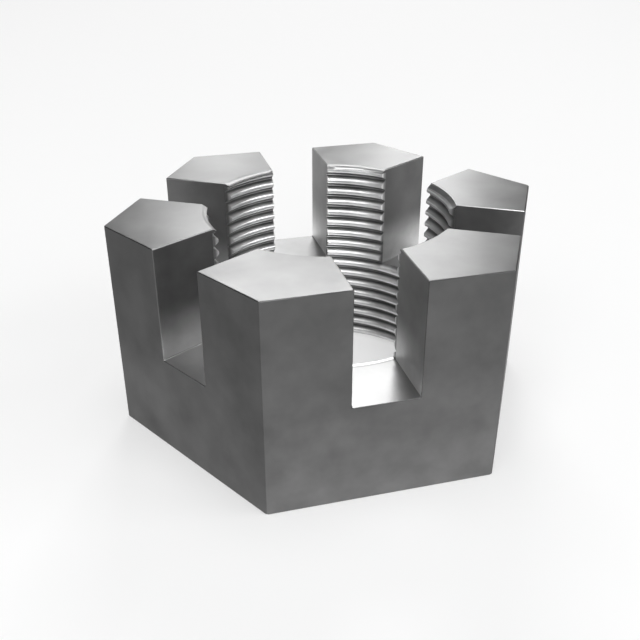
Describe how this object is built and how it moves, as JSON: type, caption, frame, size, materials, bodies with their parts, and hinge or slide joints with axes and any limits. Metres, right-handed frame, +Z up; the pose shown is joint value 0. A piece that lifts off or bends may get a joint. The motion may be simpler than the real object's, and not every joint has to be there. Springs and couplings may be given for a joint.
{
  "type": "castle nut",
  "caption": "Hexagon castle nut with sharp corners, deep square slots across its flats for a split pin, and a fine internal thread.",
  "frame": {"origin": "centre of the bearing face, on the axis of the thread", "axes": "+Z up the thread from the bearing face to the slotted end; two flats face +X and -X, and two corners lie on +Y and -Y"},
  "size_m": [0.03, 0.0346, 0.017],
  "materials": {
    "steel": "fine-machined bare steel with a satin sheen"
  },
  "bodies": {
    "root": {"castle_nut": "steel"}
  },
  "joints": []
}
